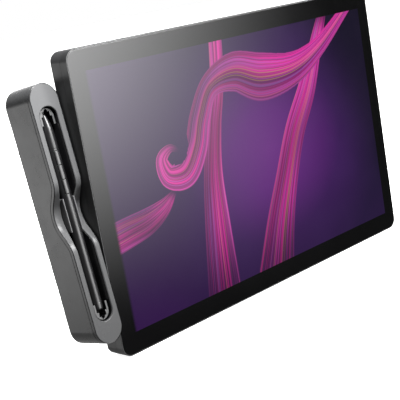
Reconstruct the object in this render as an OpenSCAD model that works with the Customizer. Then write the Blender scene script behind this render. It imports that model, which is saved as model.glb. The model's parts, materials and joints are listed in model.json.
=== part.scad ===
// Pen display with a tilting pen holder on its left edge.
// +X is the viewer's right, +Z is up and the screen faces -Y. The origin is the centre of the
// mounting pattern, on the outer face of the rear cover. All sizes are in millimetres.

/* [Display] */
// Width of the display
display_w = 410; // [400:1:430]
// Height of the display
display_h = 266; // [262:1:280]
// Depth of the display, from the front of the frame to the back of the cover
display_d = 22; // [22:0.5:24]
// Radius of the outline's four corners
corner_r = 10; // [8:0.5:12]
// Width of the frame's lip round the glass
lip_w = 0.8; // [0.5:0.1:1.5]
// Thickness of the cover glass
glass_t = 1; // [0.8:0.1:1.1]
// Wall thickness of the shells
wall = 2.2; // [2:0.1:2.4]
// Radius of the rear edge
rear_edge_r = 1; // [1:0.5:4]
// Depth of the rear cover
cover_d = 13; // [13:0.1:13.5]

/* [Back] */
// Side of the square mounting pattern
vesa_pitch = 100; // [96:4:100]
// Radius of the mounting pattern's threaded holes
vesa_hole_r = 2; // [1.8:0.1:2.2]
// Distance of the fold-out legs from the middle
leg_x = 105; // [102:1:110]
// Height of the legs' hinge above the middle
leg_z = 70; // [66:1:70]
// Width of a leg
leg_w = 26; // [22:1:28]
// Length of a leg from its hinge to the tip of its pad
leg_l = 75; // [70:1:78]
// Thickness of a leg
leg_t = 5; // [4:0.5:5]
// Distance of the shortcut keys from the middle
key_x = 178; // [176:1:179]
// Spacing of the shortcut keys
key_pitch = 18; // [17:0.5:18]
// Spacing of the vent slots
vent_pitch = 8; // [7:1:10]

/* [Pen holder] */
// Width of the holder
holder_w = 28.7; // [27:0.1:32]
// Length of the holder
holder_l = 223.4; // [220:0.2:230]
// Depth of the holder from front to back
holder_d = 38; // [37:0.5:42]
// Lean of the holder from the screen's plane
holder_tilt = 7.4; // [0:0.1:12]
// Gap between the holder and the display
holder_gap = 0.6; // [0.4:0.1:1.2]
// Height of the middle of the holder's face
face_z = 0.4; // [-2:0.1:2]
// How far the middle of the holder's face lies behind the frame's front
face_set_back = 5.9; // [4:0.1:8]
// Depth of the trim ring on the holder's front
trim_t = 3.5; // [3:0.1:4]
// Depth of the finger valley
valley_depth = 12.5; // [11:0.1:12.8]
// Radius of the valley's bends
valley_r = 21; // [18:0.5:22]
// Slope of the valley's sides
valley_slope = 33; // [28:1:35]
// Width of the pen channel
channel_w = 17.6; // [17:0.1:18]
// Length of the pen channel
channel_l = 183.6; // [181:0.2:185]
// Depth of the pen channel
channel_depth = 15; // [14.8:0.1:15.2]
// Thickness of the trim's lip over the channel's edge
lip_t = 1.2; // [1:0.1:1.4]

/* [Pen] */
// Radius of the pen's barrel
pen_r = 4.9; // [4.6:0.1:5]
// Length of the pen
pen_l = 172; // [170:0.5:173]
// Depth of the pen's axis below the holder's face
pen_depth = 8; // [7.6:0.1:8.2]

/* [Hidden] */
$fn = 64;
run = 0.05;                 // radial play of a shaft in its hole
touch_up = 0.05;            // play beside a moving face
frame_front = -display_d;
glass_front = frame_front + 0.1;
glass_back = glass_front + glass_t;
panel_w = 390;
panel_h = 240;
lcd_back = glass_back + 1.9;
light_back = lcd_back + 3;
sensor_back = light_back + 0.8;
shield_back = sensor_back + 0.4;
chassis_back = shield_back + 1.2;
board_front = chassis_back + 1.9;
board_back = board_front + 1.2;
inner_w = display_w - 2 * wall;
inner_h = display_h - 2 * wall;
side_x = display_w / 2;

// Screws: radius of the shank, of the head and of the head's counterbore
small_r = 1.25;
small_head_r = 2.3;
sunk_r = 2.6;
bracket_screw_r = 1.5;
bracket_head_r = 2.8;
screw_sink = 1.3;           // depth of a counterbore
standoff_clear_r = 4.2;     // hole in a board round a standoff

cover_screws_at = [
    [-192, 121], [0, 124], [192, 121], [-192, -50], [192, -50], [-192, -121], [0, -124], [192, -121]
];
boss_end = -4.5;
standoff_at = [for (x = [-38, 38], z = [-38, 38]) [x, z]];
vesa_at = [for (x = [-1, 1], z = [-1, 1]) [x * vesa_pitch / 2, z * vesa_pitch / 2]];

pocket_play = 0.3;
pocket_floor = -6;
leg_pin_r = 1.5;
leg_y = -leg_t / 2 - 0.3;
pad_l = 3;

key_w = 9;
key_h = 14;
key_row_z = 69;
key_z = [for (i = [0:3]) key_row_z + (i - 1.5) * key_pitch];
key_top = -0.1;
key_well = 0.8;
key_board_y = [-8, -6.8];

rib_z = 66;

fan_x = 80;
fan_z = 101.6;
fan_front = chassis_back;
fan_back = -3.2;
fan_axle_r = 1.5;

port_y = board_back + 1.6;
power_z = 100;
touch_z = 80;
usb_z = [-20, -36];
hdmi_z = -74;
lock_slot_z = -104;

holder_r = holder_w / 2;
holder_x = -side_x - holder_gap - holder_r;
face_y = frame_front + face_set_back;
half_run = holder_l / 2 - holder_r;
pivot_d = 27;
pivot_y = face_y + pivot_d * cos(holder_tilt);
pivot_z = face_z - pivot_d * sin(holder_tilt);
bolt_r = 3;
ear_x = [-204, -201];
bracket_t = 2.5;
bracket_right = -164;
bracket_screws_at = [for (x = [-184, -170], z = [-9.5, 9.5]) [x, pivot_z + z]];
knob_r = 7.8;
knob_x = [ear_x[1] + 1.1, ear_x[1] + 11.1];

valley_half = 2 * valley_r * sin(valley_slope)
    + (valley_depth - 2 * valley_r * (1 - cos(valley_slope))) / tan(valley_slope);
liner_wall = 1.2;
liner_floor = 1.4;
liner_back = channel_depth + liner_floor;
liner_screw_b = 62;
trim_screw_b = 101;
holder_back_r = 2;
tray_b = [16, 52];
tray_half_w = 7.4;
tray_top = 22;
cradle_b = 76.7;
cradle_top = 3.2;
cradle_half_w = 7.1;
cradle_inset = 0.9;
pen_seat_play = 0.3;
nose_seat = [83, 88];
nose_seat_half_w = 3.5;
notch_r = 1.6;
notch_b = 88.6;
saddle_b = [-13.5, 15.5];
saddle_top = 5;
saddle_half_w = 6.2;
draft_from = 2;             // depth from which the channel narrows
draft_w = 3.4;              // how far each side comes in by the channel's floor
nib_b = [22, 27, 32];
puller_b = 44;

pen_tip_b = 89;
pen_tail_b = pen_tip_b - pen_l;
nose_b = pen_tip_b - 2.2;
shoulder_b = 70;
grip_b = 57;
cap_b = pen_tail_b + 7;
pen_wall = 1.3;
switch_b = [18.5, 55.5];
switch_n = 3;
switch_gap = 0.6;
switch_l = (switch_b[1] - switch_b[0] - (switch_n + 1) * switch_gap / 2) / switch_n;
nib_r = 0.85;

// ---- helpers ----

// A flat shape drawn in X and Z, thickened from y = front to y = back
module plate(front, back) {
    translate([0, back, 0]) rotate([90, 0, 0]) linear_extrude(back - front) children();
}

// A shape drawn in (depth, height), carried across the whole width
module across(width) {
    rotate([90, 0, 90]) linear_extrude(width, center = true) children();
}

module rounded_rect(w, h, r) {
    square([w - 2 * r, h], center = true);
    square([w, h - 2 * r], center = true);
    for (x = [-1, 1], z = [-1, 1])
        translate([x * (w / 2 - r), z * (h / 2 - r)]) circle(r);
}

// A rod along Y
module rod(r, front, back) {
    translate([0, back, 0]) rotate([90, 0, 0]) cylinder(r = r, h = back - front);
}

// A rod along X
module cross_rod(r, left, right) {
    translate([left, 0, 0]) rotate([0, 90, 0]) cylinder(r = r, h = right - left);
}

module block(x, y, z) {
    translate([x[0], y[0], z[0]]) cube([x[1] - x[0], y[1] - y[0], z[1] - z[0]]);
}

module at(points) {
    for (p = points)
        translate([p[0], 0, p[1]]) children();
}

// A screw along Y with its head at the back and a hexagonal socket
module screw(tip, seat, shank_r, head_r, head_t) {
    difference() {
        union() {
            rod(shank_r, tip, seat);
            rod(head_r, seat, seat + head_t);
        }
        translate([0, seat + head_t + 0.1, 0]) rotate([90, 0, 0])
            cylinder(r = head_r * 0.5, h = head_t * 0.6 + 0.1, $fn = 6);
    }
}

// ---- display front and panel stack ----

module cover_glass() {
    color("#101114") plate(glass_front, glass_back)
        rounded_rect(display_w - 2 * lip_w - 0.2, display_h - 2 * lip_w - 0.2, corner_r - lip_w);
}

module side_frame() {
    color("#4a4b4d") difference() {
        plate(frame_front, -cover_d) rounded_rect(display_w, display_h, corner_r);
        plate(frame_front - 1, glass_back)
            rounded_rect(display_w - 2 * lip_w, display_h - 2 * lip_w, corner_r - lip_w);
        plate(glass_back - 1, lcd_back)
            rounded_rect(panel_w + 2, panel_h + 2, 2);
        plate(lcd_back - 0.8, -cover_d + 1)
            rounded_rect(inner_w, inner_h, corner_r - wall);
    }
}

module lcd_panel() {
    color("#3a1f5c") plate(glass_back, lcd_back) rounded_rect(panel_w, panel_h, 1);
}

module backlight_unit() {
    color("#e8e8ea") difference() {
        plate(lcd_back, light_back) rounded_rect(panel_w, panel_h, 1);
        for (x = [-1, 1], z = [-1, 1])
            translate([x * panel_w / 2, 0, z * panel_h / 2]) rod(3, lcd_back - 1, light_back + 1);
    }
}

module digitizer_board() {
    color("#14532d") difference() {
        plate(light_back, sensor_back) rounded_rect(panel_w, panel_h, 1);
        for (x = [-1, 1])
            translate([x * 150, 0, -panel_h / 2 + 4]) rod(1.6, light_back - 1, sensor_back + 1);
    }
}

module shield_plate() {
    color("#9a9da1") plate(sensor_back, shield_back) rounded_rect(panel_w + 4, panel_h + 4, 3);
}

// ---- inner frame and electronics ----

module chassis_frame() {
    color("#7c8084") difference() {
        union() {
            plate(shield_back, chassis_back) rounded_rect(inner_w - 0.4, inner_h - 0.4, corner_r - wall);
            at(cover_screws_at) rod(3.2, chassis_back - 0.5, boss_end);
            for (z = [-rib_z, rib_z])
                block([-195, 195], [chassis_back - 0.5, chassis_back + 1.2], [z - 1, z + 1]);
            at([for (x = [-72, 55], z = [-52, 52]) [x, z]]) rod(2.4, chassis_back - 0.5, board_front);
            at([for (z = [-85, 15, 65]) [158, z]]) rod(2.4, chassis_back - 0.5, board_front);
        }
        at(cover_screws_at) rod(small_r, -9.5, boss_end + 1);
        block([18, 52], [shield_back - 1, chassis_back + 2], [-125, -121]);
    }
}

module vesa_plate() {
    color("#b9bcc0") difference() {
        union() {
            plate(-3.8, -wall) rounded_rect(vesa_pitch + 20, vesa_pitch + 20, 8);
            at(vesa_at) rod(4, -9, 0);
            at(standoff_at) rod(3.5, chassis_back, -3.5);
        }
        at(vesa_at) rod(vesa_hole_r, -8, 1);
    }
}

module main_board() {
    color("#0f3d2e") {
        difference() {
            plate(board_front, board_back) translate([-9, 0]) rounded_rect(138, 116, 2);
            at(standoff_at) rod(standoff_clear_r, board_front - 1, board_back + 1);
        }
        block([-11, 11], [board_back, board_back + 1.8], [-11, 11]);
        for (z = [-24, 17])
            block([-22, -9], [board_back, board_back + 1.1], [z, z + 9]);
        block([20, 30], [board_back, board_back + 1.1], [-30, -12]);
        block([-70, -58], [board_back, board_back + 1.4], [-12, 12]);
        block([-62, -54], [board_back, board_back + 1], [24, 50]);
    }
}

module port_board() {
    color("#0f3d2e") {
        difference() {
            plate(board_front, board_back) translate([174.5, 7.5]) rounded_rect(49, 205, 2);
            translate([192, 0, -50]) rod(4, board_front - 1, board_back + 1);
        }
        block([194.5, 199.8], [board_back, board_back + 4], [power_z - 3, power_z + 3]);
        block([192, 198.8], [board_back, board_back + 1.8], [touch_z - 5, touch_z + 5]);
        block([155, 163], [board_back, board_back + 1.4], [-60, -48]);
    }
}

module usb_socket() {
    difference() {
        block([193, 204.4], [board_back, board_back + 3.2], [-4.45, 4.45]);
        block([194, 205], [board_back + 0.35, board_back + 2.85], [-4.1, 4.1]);
    }
    block([193.5, 203.6], [board_back + 1.25, board_back + 1.95], [-3.2, 3.2]);
}

module port_sockets() {
    color("#c9ccd0") {
        for (z = usb_z)
            translate([0, 0, z]) usb_socket();
        translate([0, 0, hdmi_z]) {
            difference() {
                block([191, 204.4], [board_back, board_back + 5.6], [-7.3, 7.3]);
                block([192, 205], [board_back + 0.5, board_back + 5.1], [-6.8, 6.8]);
            }
            block([191.5, 203.4], [board_back + 2.2, board_back + 3.4], [-5.4, 5.4]);
        }
    }
}

module heat_spreader() {
    color("#b87545") {
        difference() {
            plate(board_back + 1.8, board_back + 2.8) translate([0, 49]) rounded_rect(88, 138, 3);
            at([[-38, 38], [38, 38]]) rod(standoff_clear_r, board_back, board_back + 4);
        }
        for (x = [-36:6:36])
            block([x - 0.5, x + 0.5], [board_back + 2.6, -3.5], [88, 116]);
    }
}

module fan_housing() {
    difference() {
        plate(fan_front, fan_back) rounded_rect(50, 50, 6);
        rod(22, fan_front + 1.5, fan_back + 1);
        block([-18, 18], [fan_front + 1.5, fan_back - 1.2], [0, 26]);
    }
    rod(fan_axle_r, fan_front + 1, fan_back - 2.5);
}

module fan_housings() {
    color("#232427") for (x = [-fan_x, fan_x])
        translate([x, 0, fan_z]) fan_housing();
}

module fan() {
    blade_n = 11;
    hub_back = fan_back - 0.9;
    difference() {
        union() {
            rod(8, fan_front + 2, hub_back);
            for (i = [0:blade_n - 1])
                rotate([0, i * 360 / blade_n, 0]) translate([7, 0, 0]) rotate([0, 24, 0])
                    block([0, 13], [fan_front + 2.3, hub_back - 0.4], [-0.5, 0.5]);
        }
        rod(fan_axle_r + run, fan_front, fan_back - 2.2);
    }
}

module fan_left() {
    color("#2e2f33") translate([-fan_x, 0, fan_z]) fan();
}

module fan_right() {
    color("#2e2f33") translate([fan_x, 0, fan_z]) fan();
}

module key_boards() {
    color("#14532d") for (side = [-1, 1]) {
        translate([side * key_x, 0, key_row_z])
            plate(key_board_y[0], key_board_y[1]) rounded_rect(16, 82, 1.5);
        for (z = key_z)
            translate([side * key_x, 0, z]) rod(2.6, key_board_y[1], -5);
    }
}

module display_cables() {
    flex_t = 0.25;
    lcd_end = lcd_back - 0.6;
    color("#c58a2e") {
        block([45, 165], [board_back, board_back + flex_t], [-46, -34]);
        block([-172, -62], [board_back, board_back + flex_t], [44, 50]);
        block([-172 - flex_t, -172], [board_back, key_board_y[0]], [44, 50]);
        block([20, 50], [board_back, board_back + flex_t], [-123, -52]);
        block([20, 50], [lcd_end, board_back], [-123, -123 + flex_t]);
        block([20, 50], [lcd_end, lcd_end + flex_t], [-123, -panel_h / 2]);
    }
}

// ---- rear cover ----

// Section of the rear cover across one direction, rounded at its two rear edges
module rear_section(span) {
    translate([-span / 2, -cover_d - 1]) square([span, cover_d + 1 - rear_edge_r]);
    translate([-span / 2 + rear_edge_r, -cover_d - 1]) square([span - 2 * rear_edge_r, cover_d + 1]);
    for (side = [-1, 1])
        translate([side * (span / 2 - rear_edge_r), -rear_edge_r]) circle(rear_edge_r);
}

module rear_body() {
    intersection() {
        plate(-cover_d, 0) rounded_rect(display_w, display_h, corner_r);
        linear_extrude(display_h + 2, center = true) rear_section(display_w);
        across(display_w + 2) mirror([1, -1]) rear_section(display_h);
    }
}

module key_openings() {
    for (side = [-1, 1]) {
        translate([side * key_x, 0, key_row_z])
            plate(-key_well, 1) rounded_rect(key_w + 8, 4 * key_pitch + 6, 5);
        for (z = key_z)
            translate([side * key_x, 0, z])
                plate(-wall - 1, 0) rounded_rect(key_w + 0.4, key_h + 0.4, 3.2);
    }
}

module vents() {
    last = 144 - 144 % vent_pitch;
    for (x = [-last:vent_pitch:last]) {
        for (z = [-102, 102])
            translate([x, 0, z]) plate(-wall - 1, 1) rounded_rect(3.6, 28, 1.79);
        translate([x, -6, display_h / 2]) cube([4, 5, 2 * wall + 0.4], center = true);
    }
}

module side_openings() {
    translate([side_x, port_y, 0]) {
        for (z = usb_z)
            block([-5, 1], [-1.75, 1.75], [z - 4.65, z + 4.65]);
        block([-5, 1], [-1.75, 4.15], [hdmi_z - 7.5, hdmi_z + 7.5]);
        block([-5, 1], [-0.2, 2.8], [lock_slot_z - 3.5, lock_slot_z + 3.5]);
        block([-5, 1], [-1, 3.2], [power_z - 6.2, power_z + 6.2]);
        block([-5, 1], [-0.6, 2.8], [touch_z - 4.7, touch_z + 4.7]);
    }
}

module leg_pocket(play, floor_y, back) {
    half_w = leg_w / 2 + pocket_play + play;
    bottom = leg_z - leg_l - 2 - play;
    top = leg_z + leg_t / 2 + 0.7 + play;
    block([-half_w, half_w], [floor_y, back], [bottom, top]);
}

module rear_cover() {
    color("#3b3c3e") difference() {
        union() {
            difference() {
                rear_body();
                plate(-cover_d - 1, -wall) rounded_rect(inner_w, inner_h, corner_r - wall);
            }
            for (side = [-1, 1])
                translate([side * leg_x, 0, 0]) leg_pocket(3, pocket_floor - 1.5, -wall + 0.5);
            at(cover_screws_at) rod(3.4, boss_end, -1);
            at(bracket_screws_at) rod(3.5, -8, -1);
            for (side = [-1, 1], z = [-38, 38])
                translate([side * key_x, 0, key_row_z + z]) rod(2, key_board_y[1], -1);
        }
        for (side = [-1, 1])
            translate([side * leg_x, 0, 0]) {
                leg_pocket(0, pocket_floor, 1);
                translate([0, leg_y, leg_z]) cross_rod(leg_pin_r, -leg_w / 2 - 2.5, leg_w / 2 + 2.5);
            }
        at(cover_screws_at) {
            rod(sunk_r, -screw_sink, 1);
            rod(small_r + run, boss_end - 1, 0);
        }
        at(bracket_screws_at) rod(bracket_screw_r, -7, 1);
        at(vesa_at) rod(4, -wall - 1, 1);
        key_openings();
        vents();
        side_openings();
    }
}

module cover_screws() {
    color("#2a2b2d") at(cover_screws_at) screw(-9, -screw_sink, small_r, small_head_r, 1.1);
}

module rubber_feet() {
    color("#191a1b") for (x = [-150, 150], z = [-123.5, 123.5])
        translate([x, 0, z]) plate(0, 1.6) rounded_rect(34, 7, 3.4);
}

// ---- controls ----

module express_key(i) {
    side = i < 4 ? -1 : 1;
    color("#232427") translate([side * key_x, 0, key_z[i % 4]]) {
        plate(-4, key_top) rounded_rect(key_w, key_h, 3);
        plate(-4, -wall - touch_up) rounded_rect(key_w + 2, key_h + 1.6, 3);
    }
}

module power_button() {
    color("#232427") translate([side_x, port_y + 1.1, power_z]) {
        block([-4.6, 0.3], [-1.95, 1.95], [-6, 6]);
        block([-4.6, -wall - touch_up], [-2.3, 2.3], [-7, 7]);
    }
}

module touch_switch() {
    color("#232427") translate([side_x, port_y + 1.1, touch_z - 1.5]) {
        block([-5.2, 0.6], [-1.5, 1.5], [-2.4, 2.4]);
        block([-5.2, -wall - touch_up], [-2, 2], [-4.6, 4.6]);
    }
}

// ---- fold-out legs ----

module leg() {
    tip = leg_z - leg_l + pad_l;
    color("#3b3c3e") difference() {
        union() {
            block([-leg_w / 2, leg_w / 2], [leg_y - leg_t / 2, leg_y + leg_t / 2], [tip, leg_z]);
            translate([0, leg_y, leg_z]) cross_rod(leg_t / 2, -leg_w / 2, leg_w / 2);
        }
        translate([0, leg_y, leg_z]) cross_rod(leg_pin_r + run, -leg_w, leg_w);
        block([-leg_w / 2 + 4, leg_w / 2 - 4], [leg_y + 0.2, 1], [tip + 12, leg_z - 8]);
    }
}

module leg_pad() {
    low = leg_z - leg_l;
    color("#191a1b")
        block([-leg_w / 2 + 1, leg_w / 2 - 1], [leg_y - 2.2, leg_y + 2.2], [low, low + pad_l]);
}

module leg_left() {
    translate([-leg_x, 0, 0]) leg();
}

module leg_right() {
    translate([leg_x, 0, 0]) leg();
}

module leg_pad_left() {
    translate([-leg_x, 0, 0]) leg_pad();
}

module leg_pad_right() {
    translate([leg_x, 0, 0]) leg_pad();
}

module leg_pins() {
    color("#b9bcc0") for (side = [-1, 1])
        translate([side * leg_x, leg_y, leg_z]) cross_rod(leg_pin_r, -leg_w / 2 - 2.4, leg_w / 2 + 2.4);
}

// ---- holder hinge ----

module holder_bracket() {
    color("#3b3c3e") difference() {
        union() {
            block([ear_x[0], bracket_right], [0, bracket_t], [pivot_z - 15, pivot_z + 15]);
            block(ear_x, [0, pivot_y], [pivot_z - 10, pivot_z + 10]);
            translate([0, pivot_y, pivot_z]) cross_rod(10, ear_x[0], ear_x[1]);
        }
        translate([0, pivot_y, pivot_z]) cross_rod(bolt_r + run, ear_x[0] - 1, ear_x[1] + 1);
        at(bracket_screws_at) rod(bracket_screw_r + run, -1, bracket_t + 1);
    }
}

module bracket_screws() {
    color("#2a2b2d") at(bracket_screws_at)
        screw(-6.5, bracket_t, bracket_screw_r, bracket_head_r, 1.5);
}

module pivot_bolt() {
    color("#b9bcc0") translate([0, pivot_y, pivot_z]) {
        cross_rod(bolt_r, -214, knob_x[1] - 0.8);
        cross_rod(5.5, -216.5, -214);
    }
}

module friction_washers() {
    color("#c9b27a") translate([0, pivot_y, pivot_z]) difference() {
        union() {
            cross_rod(9, -side_x - holder_gap + touch_up, ear_x[0]);
            cross_rod(6.5, ear_x[1], knob_x[0] - touch_up);
        }
        cross_rod(bolt_r + run, -210, -195);
    }
}

module lock_knob() {
    flute_n = 12;
    color("#232427") translate([0, pivot_y, pivot_z]) difference() {
        cross_rod(knob_r, knob_x[0], knob_x[1]);
        cross_rod(bolt_r + run, knob_x[0] - 1, knob_x[1] + 1);
        for (i = [0:flute_n - 1])
            rotate([i * 360 / flute_n, 0, 0]) translate([0, knob_r + 0.7, 0])
                cross_rod(1.5, knob_x[0] + 2, knob_x[1] + 1);
    }
}

// ---- pen holder, drawn upright with y as the depth below its face ----

module in_holder() {
    translate([holder_x, face_y, face_z]) rotate([-holder_tilt, 0, 0]) children();
}

module stadium(half_w, half_length) {
    square([2 * half_w, 2 * (half_length - half_w)], center = true);
    for (end = [-1, 1])
        translate([0, end * (half_length - half_w)]) circle(half_w);
}

// Section of the holder's body from its middle to its side, rounded at the back
module body_section() {
    square([holder_r, holder_d - holder_back_r]);
    square([holder_r - holder_back_r, holder_d]);
    translate([holder_r - holder_back_r, holder_d - holder_back_r]) circle(holder_back_r);
}

module holder_body() {
    linear_extrude(2 * half_run, center = true) {
        body_section();
        mirror([1, 0]) body_section();
    }
    for (end = [-1, 1])
        translate([0, 0, end * half_run]) rotate([-90, 0, 0]) rotate_extrude() body_section();
}

// Everything in front of the holder's face, or of a surface the given distance below it,
// drawn in (depth, height). Straight lines cut a little way into the arcs they run into.
module front_void(below) {
    bite = 0.02;
    hollow_r = valley_r + below;
    hill_r = valley_r - below;
    low = [
        valley_depth - valley_r + (hollow_r - bite) * cos(valley_slope),
        (hollow_r - bite) * sin(valley_slope)
    ];
    high = [
        valley_r - (hill_r - bite) * cos(valley_slope),
        valley_half - (hill_r - bite) * sin(valley_slope)
    ];
    translate([-5, -holder_l / 2 - 1]) square([5 + below, holder_l + 2]);
    difference() {
        polygon([
            [-5, -valley_half], [below, -valley_half], [high[0], -high[1]], [low[0], -low[1]],
            low, high, [below, valley_half], [-5, valley_half]
        ]);
        for (end = [-1, 1])
            translate([valley_r - bite, end * valley_half]) circle(hill_r);
    }
    intersection() {
        translate([valley_depth - valley_r, 0]) circle(hollow_r);
        translate([low[0] - 2, -holder_l / 2]) square([holder_l, holder_l]);
    }
}

// The pen channel, which narrows below its upper edge
module channel_void(play) {
    half_w = channel_w / 2 - play;
    base = half_w - draft_w;
    intersection() {
        plate(-5, channel_depth) stadium(half_w, channel_l / 2 - play);
        linear_extrude(channel_l, center = true) polygon([
            [-half_w, -5], [half_w, -5], [half_w, draft_from], [base, channel_depth - 1],
            [base, channel_depth], [-base, channel_depth], [-base, channel_depth - 1],
            [-half_w, draft_from]
        ]);
    }
}

module liner_envelope(play) {
    difference() {
        plate(0, liner_back + play)
            stadium(channel_w / 2 + liner_wall + play, channel_l / 2 + liner_wall + play);
        across(holder_w + 2) front_void(lip_t);
    }
}

module holder_trim() {
    color("#5b5c5e") in_holder() {
        difference() {
            intersection() {
                plate(-1, valley_depth + trim_t + 1) stadium(holder_r, holder_l / 2);
                across(holder_w + 2) difference() {
                    front_void(trim_t);
                    front_void(0);
                }
            }
            liner_envelope(0);
            channel_void(0);
        }
        for (b = [-trim_screw_b, trim_screw_b])
            translate([0, 0, b]) difference() {
                rod(3.2, trim_t - 0.5, 16);
                rod(small_r, 8, 17);
            }
    }
}

module holder_shell() {
    liner_posts = [[0, -liner_screw_b], [0, liner_screw_b]];
    trim_posts = [[0, -trim_screw_b], [0, trim_screw_b]];
    floor_d = holder_d - wall;
    pocket_half = tray_half_w + 0.15;
    color("#434446") in_holder() difference() {
        union() {
            difference() {
                holder_body();
                across(holder_w + 2) front_void(trim_t);
                plate(-1, floor_d) stadium(holder_r - wall, holder_l / 2 - wall);
            }
            at(liner_posts) rod(3.4, 20, holder_d - 1);
            at(trim_posts) rod(3.4, 16, holder_d - 1);
            translate([0, pivot_d, 0]) cross_rod(8, -holder_x - 214 + touch_up, holder_r - 1);
            block([-pocket_half - 1.2, pocket_half + 1.2], [tray_top, holder_d - 1],
                  [tray_b[0] - 1.35, tray_b[1] + 1.35]);
        }
        at(concat(liner_posts, trim_posts)) {
            rod(small_r + run, 15, holder_d);
            rod(sunk_r, holder_d - 1.5, holder_d + 1);
        }
        translate([0, pivot_d, 0]) cross_rod(bolt_r + run, -2, holder_r + 1);
        block([-pocket_half, pocket_half], [tray_top - 1, holder_d + 1],
              [tray_b[0] - 0.15, tray_b[1] + 0.15]);
    }
}

module channel_liner() {
    color("#111214") in_holder() difference() {
        union() {
            liner_envelope(0);
            for (b = [-liner_screw_b, liner_screw_b])
                translate([0, 0, b]) rod(3, liner_back - 0.5, 20);
        }
        channel_void(0);
        for (b = [-liner_screw_b, liner_screw_b])
            translate([0, 0, b]) rod(small_r, liner_back + 0.6, 21);
    }
}

// Room for the pen's barrel, open to the front
module pen_room(r, low, high) {
    translate([0, pen_depth, low]) cylinder(r = r, h = high - low);
    block([-r, r], [-2, pen_depth], [low, high]);
}

module cradle() {
    nose_floor = pen_depth + 4.2;
    notch_floor = pen_depth + 2;
    difference() {
        intersection() {
            channel_void(0);
            plate(cradle_top, channel_depth) intersection() {
                stadium(cradle_half_w, channel_l / 2 - cradle_inset);
                translate([-holder_r, cradle_b]) square(holder_w);
            }
        }
        pen_room(pen_r + pen_seat_play, cradle_b - 1, nose_seat[0] + 1);
        block([-nose_seat_half_w, nose_seat_half_w], [-1, nose_floor], nose_seat);
        translate([0, 0, notch_b]) rod(notch_r, -1, notch_floor);
        block([-notch_r, notch_r], [-1, notch_floor], [nose_seat[1] - 1, notch_b]);
    }
}

module pen_cradles() {
    color("#6a6b6d") in_holder() {
        cradle();
        mirror([0, 0, 1]) cradle();
    }
}

module pen_saddle() {
    color("#161618") in_holder() difference() {
        intersection() {
            channel_void(0);
            block([-saddle_half_w, saddle_half_w], [saddle_top, channel_depth], saddle_b);
        }
        pen_room(pen_r + touch_up, saddle_b[0] - 1, saddle_b[1] + 1);
    }
}

module holder_screws() {
    color("#2a2b2d") in_holder() {
        for (b = [-liner_screw_b, liner_screw_b])
            translate([0, 0, b]) screw(liner_back + 0.8, holder_d - 1.5, small_r, small_head_r, 1.2);
        for (b = [-trim_screw_b, trim_screw_b])
            translate([0, 0, b]) screw(9, holder_d - 1.5, small_r, small_head_r, 1.2);
    }
}

module nib_tray() {
    color("#434446") in_holder() difference() {
        block([-tray_half_w, tray_half_w], [tray_top, holder_d], tray_b);
        for (b = nib_b)
            translate([0, 0, b]) rod(nib_r + 0.1, tray_top - 1, holder_d - 1.5);
        translate([0, 0, puller_b]) rod(5.2, tray_top - 1, tray_top + 4);
        block([-5, 5], [holder_d - 1, holder_d + 1], [tray_b[0] + 3, tray_b[0] + 4.5]);
    }
}

module spare_nibs() {
    color("#1b1b1d") in_holder() for (b = nib_b)
        translate([0, 0, b]) rod(nib_r, tray_top + 0.5, holder_d - 1.5);
}

module nib_puller() {
    color("#b9bcc0") in_holder() translate([0, 0, puller_b]) difference() {
        rod(5, tray_top + 1.2, tray_top + 4);
        rod(1.2, tray_top, tray_top + 5);
    }
}

// ---- pen, drawn along Z with its nib at the top ----

module in_pen() {
    in_holder() translate([0, pen_depth, 0]) children();
}

// Outer radius of the nose at a share t of its way from shoulder to tip
function nose_r(t) = 1.35 + (pen_r - 1.35) * pow(cos(90 * t), 0.8);
function nose_z(t) = shoulder_b + (nose_b - shoulder_b) * t;

module pen_grip() {
    steps = 8;
    color("#1c1c1e") in_pen() rotate_extrude() polygon(concat(
        [[3.3, grip_b + 0.1], [pen_r - 0.15, grip_b + 0.1], [pen_r, grip_b + 0.4]],
        [for (i = [0:steps - 1]) [nose_r(i / steps), nose_z(i / steps)]],
        [[1.35, nose_b], [nib_r + run, nose_b], [nib_r + run, 76], [3.3, 74.5]]
    ));
}

module pen_barrel() {
    inner = pen_r - pen_wall;
    color("#1c1c1e") in_pen() difference() {
        rotate_extrude() polygon([
            [inner, cap_b], [pen_r - 0.1, cap_b], [pen_r, cap_b + 0.2], [pen_r, grip_b - 0.3],
            [pen_r - 0.15, grip_b], [3.3, grip_b], [3.3, grip_b - 1], [inner, grip_b - 1]
        ]);
        block([-2.9, 2.9], [-8, -2], switch_b);
    }
}

module pen_tail_cap() {
    round_r = 2.4;
    color("#1c1c1e") in_pen() {
        rotate_extrude() intersection() {
            union() {
                translate([0, pen_tail_b + round_r]) square([pen_r - 0.05, cap_b - pen_tail_b - round_r]);
                translate([0, pen_tail_b]) square([pen_r - 0.05 - round_r, round_r]);
                translate([pen_r - 0.05 - round_r, pen_tail_b + round_r]) circle(round_r);
            }
            translate([0, pen_tail_b - 1]) square([pen_r, 20]);
        }
        translate([0, 0, cap_b - 0.5]) cylinder(r = pen_r - pen_wall - 0.1, h = 4);
    }
}

module pen_nib() {
    color("#2b2b2d") in_pen() rotate_extrude() polygon([
        [0, 71], [nib_r, 71], [nib_r, pen_tip_b - 1.4], [0.62, pen_tip_b - 0.5],
        [0.35, pen_tip_b - 0.12], [0, pen_tip_b]
    ]);
}

module side_switch(i) {
    low = switch_b[0] + switch_gap / 2 + i * (switch_l + switch_gap / 2);
    color("#26262a") in_pen() intersection() {
        difference() {
            translate([0, 0, low]) cylinder(r = pen_r + 0.35, h = switch_l);
            translate([0, 0, low - 1]) cylinder(r = 3.75, h = switch_l + 2);
        }
        block([-2.75, 2.75], [-8, -2.2], [low, low + switch_l]);
    }
}

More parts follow.
